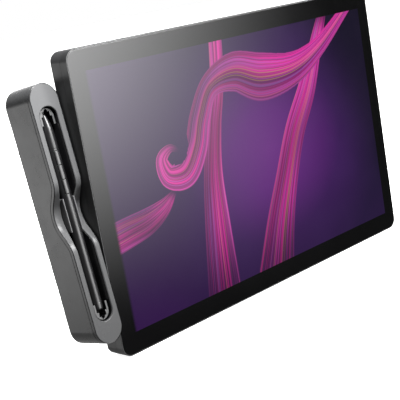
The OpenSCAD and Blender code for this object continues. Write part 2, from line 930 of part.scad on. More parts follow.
module pen_board() {
    color("#14532d") in_pen() {
        block([-2.6, 2.6], [-0.6, 0.6], [-12, 60]);
        for (i = [0:switch_n - 1])
            translate([0, 0, switch_b[0] + (i + 0.5) * (switch_l + switch_gap / 2)])
                block([-1.4, 1.4], [-2.6, -0.6], [-1.6, 1.6]);
    }
}

module pen_coil() {
    color("#a4632c") in_pen() difference() {
        translate([0, 0, 62]) cylinder(r = 3.2, h = 8.5);
        translate([0, 0, 61]) cylinder(r = 1.5, h = 11);
    }
}

cover_glass();
side_frame();
rear_cover();
lcd_panel();
backlight_unit();
digitizer_board();
shield_plate();
chassis_frame();
vesa_plate();
main_board();
port_board();
port_sockets();
heat_spreader();
fan_housings();
fan_left();
fan_right();
key_boards();
express_key(0);  // express_key_1
express_key(1);  // express_key_2
express_key(2);  // express_key_3
express_key(3);  // express_key_4
express_key(4);  // express_key_5
express_key(5);  // express_key_6
express_key(6);  // express_key_7
express_key(7);  // express_key_8
power_button();
touch_switch();
display_cables();
cover_screws();
rubber_feet();
leg_left();
leg_right();
leg_pad_left();
leg_pad_right();
leg_pins();
holder_bracket();
bracket_screws();
pivot_bolt();
friction_washers();
lock_knob();
holder_shell();
holder_trim();
channel_liner();
pen_cradles();
pen_saddle();
holder_screws();
nib_tray();
spare_nibs();
nib_puller();
pen_grip();
pen_barrel();
pen_tail_cap();
pen_nib();
side_switch(0);  // side_switch_1
side_switch(1);  // side_switch_2
side_switch(2);  // side_switch_3
pen_board();
pen_coil();
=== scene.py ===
"""Looks of a pen display with its pen holder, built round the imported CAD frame.

The row frame is in metres: X to the right, Y from the display's front to its back, Z up.
"""

import json
import math
from contextlib import contextmanager
from functools import reduce

import bmesh
import bpy
import numpy as np
from mathutils import Matrix, Vector


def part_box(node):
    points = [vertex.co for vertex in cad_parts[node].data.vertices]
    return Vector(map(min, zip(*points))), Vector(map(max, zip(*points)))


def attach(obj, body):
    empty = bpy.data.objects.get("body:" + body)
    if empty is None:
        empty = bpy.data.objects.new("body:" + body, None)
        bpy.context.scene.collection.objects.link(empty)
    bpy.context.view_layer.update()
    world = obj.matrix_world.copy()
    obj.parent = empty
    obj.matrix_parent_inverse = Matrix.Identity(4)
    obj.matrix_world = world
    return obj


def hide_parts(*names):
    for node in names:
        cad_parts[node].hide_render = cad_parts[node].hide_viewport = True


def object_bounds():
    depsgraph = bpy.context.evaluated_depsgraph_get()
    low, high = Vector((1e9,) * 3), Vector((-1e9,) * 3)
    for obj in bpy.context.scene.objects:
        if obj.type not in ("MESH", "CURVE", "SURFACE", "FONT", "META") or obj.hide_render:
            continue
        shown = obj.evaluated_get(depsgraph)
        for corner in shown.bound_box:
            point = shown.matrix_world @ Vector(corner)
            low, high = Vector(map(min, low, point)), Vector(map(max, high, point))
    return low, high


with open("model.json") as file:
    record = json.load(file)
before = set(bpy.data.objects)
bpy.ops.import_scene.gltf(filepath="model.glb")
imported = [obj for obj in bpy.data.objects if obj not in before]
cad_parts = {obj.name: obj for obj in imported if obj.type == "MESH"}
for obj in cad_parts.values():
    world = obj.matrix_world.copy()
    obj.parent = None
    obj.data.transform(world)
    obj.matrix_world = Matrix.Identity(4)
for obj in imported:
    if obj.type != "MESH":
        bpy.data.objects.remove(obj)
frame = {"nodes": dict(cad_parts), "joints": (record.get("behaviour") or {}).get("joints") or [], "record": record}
cad_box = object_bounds()

MM = 0.001
NODES = frame["nodes"]
JOINTS = {j["name"]: j for j in frame["joints"]}
BODY_OF = {n: b for b, ns in frame["record"]["behaviour"]["bodies"].items() for n in ns}
SLOT_OF = {s["node"]: s["material_slot"] for s in frame["record"]["subparts"]}

# ------------------------------------------------------------------ node helpers


class Tree:
    """The node tree of a new material or world, with short calls for the nodes used here."""

    # Places of the mix node's sockets for colours
    MIX_SHARE, MIX_A, MIX_B, MIX_RESULT = 0, 6, 7, 2

    def __init__(self, name, kind="materials", output="OutputMaterial"):
        self.owner = getattr(bpy.data, kind).new(name)
        self.owner.use_nodes = True
        self.tree = self.owner.node_tree
        self.tree.nodes.clear()
        self.output = self.tree.nodes.new("ShaderNode" + output)

    def finish(self, shader):
        """Links the shader to the output; the material or world is ready."""
        self.tree.links.new(shader, self.output.inputs[0])
        return self.owner

    def surface(self, **inputs):
        """Ends a material with a principled surface."""
        return self.finish(self.add("BsdfPrincipled", **inputs))

    def feed(self, socket, value):
        """Sets an input to a number or colour, or links another node's output to it."""
        if isinstance(value, bpy.types.NodeSocket):
            self.tree.links.new(value, socket)
        else:
            socket.default_value = value

    def add(self, kind, *values, out=0, settings=None, **inputs):
        """Adds a node, feeds its first inputs in turn and its named ones, and gives an output."""
        node = self.tree.nodes.new("ShaderNode" + kind)
        for key, value in (settings or {}).items():
            setattr(node, key, value)
        for socket, value in zip(node.inputs, values):
            self.feed(socket, value)
        for key, value in inputs.items():
            self.feed(node.inputs[key.replace("_", " ")], value)
        return node.outputs[out]

    def math(self, operation, *values):
        return self.add("Math", *values, settings={"operation": operation})

    def times(self, *values):
        return reduce(lambda a, b: self.math("MULTIPLY", a, b), values)

    def plus(self, *values):
        return reduce(lambda a, b: self.math("ADD", a, b), values)

    def rest(self, share):
        """What a share leaves of one."""
        return self.math("SUBTRACT", 1.0, share)

    def dot(self, a, b):
        return self.add("VectorMath", a, b, out="Value", settings={"operation": "DOT_PRODUCT"})

    def split(self, vector):
        """A vector's X, Y and Z."""
        return list(self.add("SeparateXYZ", vector).node.outputs)

    def spread(self, value, low, high, to_low=0.0, to_high=1.0, smooth=True):
        """Maps a value from the range low..high to to_low..to_high and holds it there outside."""
        kind = "SMOOTHSTEP" if smooth else "LINEAR"
        return self.add(
            "MapRange", value, low, high, to_low, to_high, settings={"interpolation_type": kind}
        )

    def mix(self, share, a, b, blend="MIX"):
        """Lays colour b over colour a."""
        node = self.tree.nodes.new("ShaderNodeMix")
        node.data_type = "RGBA"
        node.blend_type = blend
        for place, value in ((self.MIX_SHARE, share), (self.MIX_A, a), (self.MIX_B, b)):
            self.feed(node.inputs[place], value)
        return node.outputs[self.MIX_RESULT]

    def ramp(self, value, stops):
        """Colours a value by (place, colour) stops."""
        node = self.tree.nodes.new("ShaderNodeValToRGB")
        elements = node.color_ramp.elements
        while len(elements) < len(stops):
            elements.new(0.5)
        for element, (place, colour) in zip(elements, stops):
            element.position = place
            element.color = rgb(*colour)
        self.feed(node.inputs[0], value)
        return node.outputs[0]

    def place(self, stretch=None):
        """The point in the row frame, in metres, or stretched along its axes."""
        point = self.add("TexCoord", out="Object")
        return self.add("Mapping", Vector=point, Scale=stretch) if stretch else point

    def noise(self, scale, detail=3.0, rough=0.5, vector=None):
        return self.add(
            "TexNoise", Vector=vector or self.place(), Scale=scale, Detail=detail, Roughness=rough
        )

    def bump(self, strength, depth_mm, height):
        return self.add("Bump", Strength=strength, Distance=depth_mm * MM, Height=height)


def rgb(*colour):
    return (*colour, 1.0)


def shaded(colour, factor):
    return rgb(*[min(1.0, c * factor) for c in colour])


# ------------------------------------------------------------------ frames of reference

PIVOT_DEPTH = 27 * MM  # of the holder's pivot behind its face
PEN_DEPTH = 8 * MM  # of the pen's axis behind the holder's face

DEPTH_AXIS = -Vector(JOINTS["pen_lift"]["axis"])
HEIGHT_AXIS = Vector((1, 0, 0)).cross(DEPTH_AXIS)
shell_low, shell_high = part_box("holder_shell")
pivot = Vector(JOINTS["holder_tilt"]["pos_m"])
face_middle = Vector(((shell_low.x + shell_high.x) / 2, pivot.y, pivot.z)) - PIVOT_DEPTH * DEPTH_AXIS
# Columns: along X, depth below the holder's face, height along the holder
HOLDER = Matrix.Translation(face_middle) @ Matrix(
    ((1, DEPTH_AXIS.x, HEIGHT_AXIS.x), (0, DEPTH_AXIS.y, HEIGHT_AXIS.y), (0, DEPTH_AXIS.z, HEIGHT_AXIS.z))
).to_4x4()
PEN = HOLDER @ Matrix.Translation((0, PEN_DEPTH, 0))

# ------------------------------------------------------------------ materials


def moulded(name, colour, rough=0.45, grain=0.12, grain_size=0.35, wear=0.25, metallic=0.0, shine=0.5):
    """Moulded or painted surface: fine spark-eroded grain (its size in mm), slight clouding and
    edges that are rubbed paler as wear grows."""
    t = Tree(name)
    fine = t.noise(1 / (grain_size * MM), detail=2.5, rough=0.6)
    cloud = t.noise(14, detail=4)
    smudge = t.noise(55, detail=5, rough=0.65)
    edge_normal = t.add("Bevel", settings={"samples": 4}, Radius=0.5 * MM)
    facing = t.dot(edge_normal, t.add("NewGeometry", out="Normal"))
    rubbed = t.spread(facing, 0.995, 0.8, 0, wear)
    base = t.mix(t.spread(cloud, 0.35, 0.65), shaded(colour, 0.93), shaded(colour, 1.07))
    base = t.mix(t.spread(fine, 0.4, 0.7, 0, 0.25), base, shaded(colour, 1.35))
    base = t.mix(rubbed, base, shaded(colour, 1.9))
    roughness = t.plus(t.spread(smudge, 0.3, 0.7, rough - 0.04, rough + 0.05), t.times(rubbed, -0.12))
    return t.surface(
        Base_Color=base, Roughness=roughness, Normal=t.bump(grain, 0.06, fine), Metallic=metallic,
        Specular_IOR_Level=shine,
    )


def brushed(name, colour, rough=0.32):
    """Bare metal with fine lines drawn along X."""
    t = Tree(name)
    lines = t.noise(1.0, detail=4, rough=0.7, vector=t.place((40, 900, 900)))
    cloud = t.noise(30, detail=3)
    base = t.mix(t.spread(lines, 0.35, 0.65), shaded(colour, 0.82), shaded(colour, 1.1))
    base = t.mix(t.spread(cloud, 0.4, 0.7, 0, 0.3), base, shaded(colour, 0.7))
    roughness = t.spread(lines, 0.3, 0.7, rough - 0.06, rough + 0.1)
    return t.surface(Base_Color=base, Roughness=roughness, Normal=t.bump(0.2, 0.02, lines), Metallic=1.0)


def glossy_black(name):
    """Polished moulding with faint hairlines."""
    t = Tree(name)
    hair = t.noise(1.0, detail=5, rough=0.7, vector=t.place((2500, 2500, 60)))
    cloud = t.noise(40, detail=3)
    base = t.mix(t.spread(cloud, 0.4, 0.6), rgb(0.0014, 0.0014, 0.0016), rgb(0.0022, 0.0022, 0.0024))
    roughness = t.spread(hair, 0.35, 0.75, 0.16, 0.30)
    return t.surface(Base_Color=base, Roughness=roughness, Normal=t.bump(0.05, 0.01, hair))


def cradle_rim(name):
    """Grey-painted rim on a black moulding. Below a depth just under the holder's face the black is painted shade
    for the walls down in the channel.
    """
    shade_depth = 3.7 * MM
    t = Tree(name)
    depth = t.math("SUBTRACT", t.dot(t.place(), DEPTH_AXIS), face_middle.dot(DEPTH_AXIS))
    fine = t.noise(3000, detail=2.5, rough=0.6)
    paint = t.mix(t.spread(fine, 0.35, 0.7), rgb(0.015, 0.0152, 0.0156), rgb(0.018, 0.0182, 0.0186))
    # Painted shade: black wherever the surface lies deeper than the shade depth, the grey paint above it
    base = t.mix(t.math("LESS_THAN", depth, shade_depth), rgb(0.001, 0.001, 0.0011), paint)
    return t.surface(
        Base_Color=base, Roughness=0.36, Normal=t.bump(0.08, 0.03, fine), Specular_IOR_Level=0.42
    )


def rubber(name):
    t = Tree(name)
    fine = t.noise(3200, detail=4, rough=0.7)
    dust = t.noise(90, detail=5, rough=0.7)
    base = t.mix(t.spread(dust, 0.5, 0.8, 0, 0.5), rgb(0.010, 0.010, 0.010), rgb(0.035, 0.034, 0.033))
    return t.surface(Base_Color=base, Roughness=0.85, Normal=t.bump(0.3, 0.05, fine))


def circuit_board(name):
    """Solder mask over angular copper fields, with round bare pads."""
    t = Tree(name)
    flat = t.place((1, 0, 1))
    fields = t.add("TexVoronoi", settings={"distance": "CHEBYCHEV"}, Vector=flat, Scale=260)
    copper = t.spread(fields, 0.42, 0.5)
    pads = t.add("TexVoronoi", Vector=flat, Scale=420)
    base = t.mix(copper, rgb(0.010, 0.070, 0.040), rgb(0.022, 0.130, 0.070))
    base = t.mix(t.spread(pads, 0.12, 0.08), base, rgb(0.60, 0.58, 0.52))
    return t.surface(Base_Color=base, Roughness=0.35, Normal=t.bump(0.3, 0.03, copper))


def amber_film(name):
    """Flat cable with its lines showing through the film."""
    t = Tree(name)
    lines = t.add("TexWave", Vector=t.place(), Scale=600, Distortion=0.5)
    base = t.mix(t.spread(lines, 0.4, 0.6), rgb(0.50, 0.24, 0.05), rgb(0.62, 0.33, 0.10))
    return t.surface(Base_Color=base, Roughness=0.3)


def diffuser(name):
    """The backlight's white sheet with its printed dots."""
    t = Tree(name)
    dots = t.add("TexVoronoi", Vector=t.place(), Scale=500)
    base = t.mix(t.spread(dots, 0.2, 0.4), rgb(0.88, 0.88, 0.9), rgb(0.76, 0.76, 0.78))
    return t.surface(Base_Color=base, Roughness=0.5)


def cell_stack(name):
    """The panel behind the glass: dark, with the fine upright stripes of its colour cells."""
    t = Tree(name)
    stripes = t.add("TexWave", out="Fac", settings={"bands_direction": "X"}, Vector=t.place(), Scale=900)
    cloud = t.noise(25, detail=3)
    base = t.mix(t.spread(stripes, 0.4, 0.6), rgb(0.010, 0.009, 0.016), rgb(0.022, 0.020, 0.030))
    return t.surface(Base_Color=base, Roughness=t.spread(cloud, 0.3, 0.7, 0.22, 0.34))


# ------------------------------------------------------------------ the picture on the screen

HALF_W, HALF_H = 189 * MM, 114 * MM  # of the lit picture
LEFT_FADE = 4 * MM  # over which the picture's left edge comes up
GLOW_X, GLOW_ROUNDNESS = 0.08, 0.75

# Centre lines of the ribbons as shares of the picture's half width and half height, with the
# ribbon's half width at each point as a share of the half height
RIBBONS = [
    [(-0.60, -0.06, 0.02), (-0.69, -0.16, 0.075), (-0.80, -0.22, 0.11), (-0.94, -0.25, 0.125),
     (-1.08, -0.28, 0.13)],
    [(-0.16, 1.30, 0.07), (-0.18, 0.95, 0.08), (-0.22, 0.62, 0.08), (-0.28, 0.34, 0.09),
     (-0.335, -0.02, 0.11), (-0.365, -0.45, 0.15), (-0.395, -1.06, 0.20)],
    [(0.70, 1.10, 0.05), (0.60, 0.82, 0.08), (0.46, 0.42, 0.12), (0.31, 0.08, 0.135),
     (0.19, -0.30, 0.15), (0.09, -0.66, 0.185), (0.00, -1.06, 0.23)],
    [(-0.53, 0.23, 0.015), (-0.59, 0.27, 0.035), (-0.65, 0.20, 0.065), (-0.62, 0.06, 0.10),
     (-0.51, 0.05, 0.13), (-0.42, 0.22, 0.13), (-0.36, 0.44, 0.12), (-0.26, 0.66, 0.11),
     (-0.08, 0.72, 0.17), (0.12, 0.62, 0.21), (0.38, 0.62, 0.15), (0.62, 0.76, 0.09),
     (0.92, 1.06, 0.05)],
]
RIBBON_STRENGTH = [0.6, 0.94, 0.94, 0.94]
RIBBON_LABELS = ("across", "along", "reach")


def picture_colour(t):
    """A violet glow with bundles of magenta threads flowing over it."""
    x, _, z = t.split(t.place())
    x, z = t.math("DIVIDE", x, HALF_W), t.math("DIVIDE", z, HALF_H)
    dx, dz = t.math("SUBTRACT", x, GLOW_X), t.times(z, GLOW_ROUNDNESS)
    glow = t.math("SQRT", t.plus(t.times(dx, dx), t.times(dz, dz)))
    colour = t.ramp(glow, [
        (0.0, (0.148, 0.020, 0.215)), (0.25, (0.112, 0.014, 0.178)), (0.60, (0.038, 0.008, 0.080)),
        (1.0, (0.010, 0.006, 0.028)),
    ])
    mist = t.noise(9, detail=3, rough=0.5)
    top_right = t.plus(x, t.times(z, 0.25))
    colour = t.mix(t.spread(mist, 0.35, 0.75, 0, 0.25), colour, rgb(0.060, 0.018, 0.130))
    colour = t.mix(t.spread(top_right, 0.55, 1.1, 0, 0.85), colour, rgb(0.005, 0.003, 0.014))
    colour = t.mix(t.spread(z, -0.3, -1.0, 0, 0.5), colour, rgb(0.022, 0.006, 0.050))
    colour = t.mix(t.spread(x, -0.2, -0.85, 0, 0.8), colour, rgb(0.029, 0.005, 0.061))
    fade = t.spread(z, -0.25, -1.1, 1.0, 0.25)
    for i, strength in enumerate(RIBBON_STRENGTH):
        across, along, reach = (
            t.add("Attribute", out="Fac", settings={"attribute_name": f"{label}_{i}"})
            for label in RIBBON_LABELS
        )
        seed = 3.7 * (i + 1)
        colour = ribbon(t, colour, across, along, reach, seed, strength, fade)
    return colour


def ribbon(t, under, across, along, reach, seed, strength, fade):
    """One bundle of threads laid over the colour under it; reach is one at the ribbon's edges."""
    def threads(fineness, stretch, detail, offset):
        vector = t.add("CombineXYZ", t.times(across, fineness), t.times(along, stretch), seed + offset)
        return t.noise(1.0, detail=detail, rough=0.55, vector=vector)

    wide = threads(1.7, 1.4, 1, 0.0)
    middle = threads(6.0, 1.3, 1, 2.4)
    fine = threads(15.0, 1.0, 1, 5.1)
    thin = threads(14.0, 0.6, 0, 9.3)
    body = t.ramp(wide, [
        (0.30, (0.190, 0.012, 0.150)), (0.43, (0.430, 0.012, 0.220)), (0.54, (0.700, 0.022, 0.320)),
        (0.66, (0.520, 0.045, 0.360)), (0.75, (0.270, 0.030, 0.250)),
    ])
    body = t.mix(t.spread(middle, 0.50, 0.66, 0, 0.66), body, rgb(0.095, 0.010, 0.080))
    body = t.mix(t.spread(middle, 0.44, 0.34, 0, 0.30), body, rgb(0.800, 0.060, 0.420))
    body = t.mix(t.spread(fine, 0.48, 0.62, 0, 0.62), body, rgb(0.130, 0.015, 0.105))
    body = t.mix(t.spread(thin, 0.67, 0.69, 0, 0.45), body, rgb(0.450, 0.120, 0.550))
    body = t.mix(t.spread(thin, 0.32, 0.30, 0, 0.45), body, rgb(0.520, 0.300, 0.110))
    turn = t.math("SINE", t.math("MULTIPLY_ADD", along, 8.0, t.times(across, 1.2)))
    light = t.times(t.spread(turn, -1.0, 1.0, 0.60, 1.2, smooth=False), fade)
    body = t.mix(1.0, body, t.add("CombineXYZ", light, light, light), blend="MULTIPLY")
    body = t.mix(t.spread(reach, 0.88, 0.95, 0, 0.3), body, rgb(0.550, 0.070, 0.360))
    gaps = t.times(t.spread(fine, 0.44, 0.56), t.rest(fade))
    cover = t.times(t.spread(reach, 1.0, 0.93), t.rest(gaps))
    ends = t.times(t.spread(along, 0.0, 0.16), strength)
    return t.mix(t.times(cover, ends), under, body)


def cover_glass(name):
    """Etched glass: the lit picture shows inside its window, black ink outside it."""
    t = Tree(name)
    sparkle = t.noise(5200, detail=2, rough=0.6)
    smudge = t.noise(18, detail=5, rough=0.6)
    x, _, z = t.split(t.place())
    inside = t.math(
        "MINIMUM",
        t.math("LESS_THAN", t.math("ABSOLUTE", x), HALF_W),
        t.math("LESS_THAN", t.math("ABSOLUTE", z), HALF_H),
    )
    inside = t.times(inside, t.spread(x, -HALF_W, -HALF_W + LEFT_FADE))
    lit = t.mix(inside, rgb(0, 0, 0), picture_colour(t))
    return t.surface(
        Base_Color=rgb(0.001, 0.001, 0.0011), Roughness=t.spread(smudge, 0.3, 0.7, 0.085, 0.11),
        Normal=t.bump(0.05, 0.01, sparkle), IOR=1.52, Emission_Color=lit, Emission_Strength=1.0,
    )


# ------------------------------------------------------------------ mesh helpers


@contextmanager
def edited(mesh):
    """Opens a mesh for editing and writes it back at the end."""
    bm = bmesh.new()
    bm.from_mesh(mesh)
    yield bm
    bm.to_mesh(mesh)
    bm.free()


def new_piece(name, mesh, node, *materials):
    """A piece that stands for a CAD node and rides on that node's body."""
    for polygon in mesh.polygons:
        polygon.use_smooth = True
    for material in materials:
        mesh.materials.append(material)
    piece = bpy.data.objects.new(name, mesh)
    bpy.context.scene.collection.objects.link(piece)
    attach(piece, BODY_OF[node])
    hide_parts(node)
    weigh_normals(piece)


def weigh_normals(piece):
    """Lets broad faces keep their own shading beside narrow rounded edges."""
    weighted = piece.modifiers.new("shade", "WEIGHTED_NORMAL")
    weighted.keep_sharp = True
    weighted.weight = 90


def grid_mesh(name, rows, close_rows=True):
    """A mesh skinned over closed rows of points, each row with the same count."""
    n_rows, n_columns = len(rows), len(rows[0])
    points = [tuple(p) for row in rows for p in row]
    faces = []
    for i in range(n_rows if close_rows else n_rows - 1):
        a, b = i * n_columns, (i + 1) % n_rows * n_columns
        for c in range(n_columns):
            d = (c + 1) % n_columns
            faces.append((a + c, a + d, b + d, b + c))
    mesh = bpy.data.meshes.new(name)
    mesh.from_pydata(points, [], faces)
    with edited(mesh) as bm:
        bmesh.ops.remove_doubles(bm, verts=bm.verts, dist=1e-7)
        bmesh.ops.recalc_face_normals(bm, faces=bm.faces)
    return mesh


def mark_sharp(mesh, angle):
    """Splits the shading along edges that turn by more than the angle."""
    with edited(mesh) as bm:
        for edge in bm.edges:
            if len(edge.link_faces) == 2 and edge.calc_face_angle(0) > math.radians(angle):
                edge.smooth = False


def quarter(r, steps=4):
    """Inset and drop along a rounded edge, from the side to the top."""
    turn = [math.radians(90 * i / steps) for i in range(steps + 1)]
    return [(r * (1 - math.cos(a)), r * (1 - math.sin(a))) for a in turn]


def rounded_rows(box, corner, section, corner_steps=10, least_corner=0.5 * MM):
    """Rows round a rounded rectangle in X and Z that fills the box, one for each (inset, y)."""
    low, high = box
    rows = []
    for inset, y in section:
        r = max(corner - inset, least_corner)
        half_w, half_h = (high.x - low.x) / 2 - inset - r, (high.z - low.z) / 2 - inset - r
        row = []
        for cx, cz, start in ((1, 1, 0), (-1, 1, 90), (-1, -1, 180), (1, -1, 270)):
            for i in range(corner_steps + 1):
                a = math.radians(start + 90 * i / corner_steps)
                row.append((cx * half_w + r * math.cos(a), y, cz * half_h + r * math.sin(a)))
        rows.append(row)
    return rows


# ------------------------------------------------------------------ display front


def side_frame(material):
    """The frame's ring: a rounded front edge, the seat of the glass and a plain wall behind it."""
    low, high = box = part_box("side_frame")
    glass_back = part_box("cover_glass")[1].y
    corner, lip, wall = 10 * MM, 0.8 * MM, 2.2 * MM
    front_r, lip_r, back_chamfer = 0.3 * MM, 0.12 * MM, 0.12 * MM
    ledge_in, ledge_back = wall + 3 * MM, glass_back + 1 * MM
    section = [(0, high.y - back_chamfer)]
    section += [(u, low.y + v) for u, v in quarter(front_r)]
    section += [(lip - v, low.y + u) for v, u in quarter(lip_r, 2)[::-1]]
    section += [
        (lip, glass_back), (ledge_in, glass_back), (ledge_in, ledge_back), (wall, ledge_back),
        (wall, high.y), (back_chamfer, high.y),
    ]
    mesh = grid_mesh("frame_ring", rounded_rows(box, corner, section))
    mark_sharp(mesh, 32)
    new_piece("frame_ring", mesh, "side_frame", material)


def glass_pane(material):
    """The pane, whose front carries a fine grid over the picture for the ribbons' places."""
    low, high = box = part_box("cover_glass")
    corner, back_chamfer, front_r = 9.2 * MM, 0.3 * MM, 0.18 * MM
    grid_columns, grid_rows = 200, 120
    section = [(back_chamfer, high.y), (0, high.y - back_chamfer)]
    section += [(u, low.y + v) for u, v in quarter(front_r, 3)]
    mesh = grid_mesh("glass_pane", rounded_rows(box, corner, section), close_rows=False)
    with edited(mesh) as bm:
        rims = [e for e in bm.edges if e.is_boundary]
        halfway = (low.y + high.y) / 2
        back = [e for e in rims if e.verts[0].co.y > halfway]
        front = [e for e in rims if e.verts[0].co.y < halfway]
        bmesh.ops.holes_fill(bm, edges=back)
        xs = np.linspace(-HALF_W, HALF_W, grid_columns)
        zs = np.linspace(-HALF_H, HALF_H, grid_rows)
        grid = [[bm.verts.new((x, low.y, z)) for x in xs] for z in zs]
        for lower, upper in zip(grid, grid[1:]):
            for k in range(len(xs) - 1):
                bm.faces.new((lower[k], lower[k + 1], upper[k + 1], upper[k]))
        border = grid[0] + grid[-1] + [r[0] for r in grid] + [r[-1] for r in grid]
        window = {e for v in border for e in v.link_edges if e.is_boundary}
        bmesh.ops.triangle_fill(bm, use_beauty=True, edges=front + list(window), normal=(0, -1, 0))
        bmesh.ops.recalc_face_normals(bm, faces=bm.faces)
    lay_ribbons(mesh)
    new_piece("glass_pane", mesh, "cover_glass", material)
    for polygon in mesh.polygons:
        polygon.use_smooth = abs(polygon.normal.y) < 0.999


def smooth_path(points, count=240):
    """Points along a Catmull-Rom curve through the given ones."""
    p = np.array(points, float)
    p = np.vstack([2 * p[0] - p[1], p, 2 * p[-1] - p[-2]])
    out = []
    for i in range(1, len(p) - 2):
        for t in np.linspace(0, 1, count // (len(p) - 3), endpoint=False):
            out.append(0.5 * (
                2 * p[i] + (p[i + 1] - p[i - 1]) * t
                + (2 * p[i - 1] - 5 * p[i] + 4 * p[i + 1] - p[i + 2]) * t * t
                + (3 * p[i] - p[i - 1] - 3 * p[i + 1] + p[i + 2]) * t ** 3
            ))
    return np.array(out)


def lay_ribbons(mesh):
    """Gives each of the mesh's points its place across and along every ribbon."""
    points = np.array([(v.co.x, v.co.z) for v in mesh.vertices])
    for i, layer in enumerate(RIBBONS):
        path = smooth_path(layer)
        centre = path[:, :2] * np.array([HALF_W, HALF_H])
        half = path[:, 2] * HALF_H
        tangent = np.gradient(centre, axis=0)
        tangent /= np.linalg.norm(tangent, axis=1)[:, None]
        normal = np.stack([-tangent[:, 1], tangent[:, 0]], axis=1)
        nearest = ((points[:, None, :] - centre[None, :, :]) ** 2).sum(2).argmin(1)
        offset = points - centre[nearest]
        side = (offset * normal[nearest]).sum(1)
        ahead = (offset * tangent[nearest]).sum(1)
        step = np.linalg.norm(np.diff(centre, axis=0), axis=1).mean()
        across = side / half[nearest]
        along = (nearest + ahead / step) / len(centre)
        reach = np.linalg.norm(offset, axis=1) / half[nearest]
        for label, values in zip(RIBBON_LABELS, (across, along, reach)):
            attribute = mesh.attributes.new(f"{label}_{i}", "FLOAT", "POINT")
            attribute.data.foreach_set("value", values.astype(np.float32))


# ------------------------------------------------------------------ holder trim

HOLDER_R = (shell_high.x - shell_low.x) / 2
HOLDER_HALF = 111.7 * MM
CHANNEL_R = 8.8 * MM
CHANNEL_HALF = 91.8 * MM
CHANNEL_LAND = 2 * MM  # depth down to which the channel's wall is upright
CHANNEL_DRAFT = 3.4 / 12  # by how much it narrows over the depth below that
TRIM_T = 3.5 * MM
LIP_T = 1.2 * MM
VALLEY_DEPTH = 12.5 * MM
VALLEY_R = 21 * MM
VALLEY_SLOPE = math.radians(33)
VALLEY_HALF = 2 * VALLEY_R * math.sin(VALLEY_SLOPE) + (
    VALLEY_DEPTH - 2 * VALLEY_R * (1 - math.cos(VALLEY_SLOPE))
) / math.tan(VALLEY_SLOPE)


def face_depth(b, below=0.0):
    """Depth of the holder's face at height b, or of the surface a distance below it."""
    b = abs(b)
    hollow, hill = VALLEY_R + below, VALLEY_R - below
    low_b = hollow * math.sin(VALLEY_SLOPE)
    high_b = VALLEY_HALF - hill * math.sin(VALLEY_SLOPE)
    if b >= VALLEY_HALF:
        return below
    if b <= low_b:
        return VALLEY_DEPTH - VALLEY_R + math.sqrt(hollow * hollow - b * b)
    if b >= high_b:
        return VALLEY_R - math.sqrt(hill * hill - (VALLEY_HALF - b) ** 2)
    low_d = VALLEY_DEPTH - VALLEY_R + hollow * math.cos(VALLEY_SLOPE)
    return low_d - (b - low_b) * math.tan(VALLEY_SLOPE)


def channel_half_width(b):
    """Half width of the pen channel where the face crosses it at height b."""
    return CHANNEL_R - CHANNEL_DRAFT * max(0.0, face_depth(b) - CHANNEL_LAND)


def trim_outline(fine_step=0.9 * MM, coarse_step=4 * MM, arc_steps=56):
    """Pairs of points round the trim: on its outside and on the channel's edge, each with its
    outward or inward normal, as (a, b, normal a, normal b)."""
    centre_b = CHANNEL_HALF - CHANNEL_R
    end_b = HOLDER_HALF - HOLDER_R
    gap = end_b - centre_b
    fine_half = VALLEY_HALF + 3 * MM
    heights = []
    b = -centre_b
    while b < centre_b:
        heights.append(b)
        b += fine_step if abs(b) < fine_half else coarse_step

    def straight(side, b):
        return (side * HOLDER_R, b, side, 0), (side * channel_half_width(b), b, side, 0)

    def arc(end, angle):
        ca, sa = math.cos(angle), math.sin(angle)
        if abs(ca) > 1e-9 and abs(HOLDER_R / ca * sa) <= gap:
            side = math.copysign(1, ca)
            outer = (side * HOLDER_R, end * centre_b + HOLDER_R / abs(ca) * sa, side, 0)
        else:
            reach = gap * abs(sa) + math.sqrt(HOLDER_R ** 2 - (gap * ca) ** 2)
            a, b = reach * ca, end * centre_b + reach * sa
            outer = (a, b, a / HOLDER_R, (b - end * end_b) / HOLDER_R)
        return outer, (CHANNEL_R * ca, end * centre_b + CHANNEL_R * sa, ca, sa)

    half_turn = [math.pi * k / arc_steps for k in range(arc_steps + 1)]
    pairs = [straight(1, b) for b in heights]
    pairs += [arc(1, angle) for angle in half_turn]
    pairs += [straight(-1, b) for b in heights[:0:-1]]
    pairs += [arc(-1, math.pi + angle) for angle in half_turn]
    return pairs


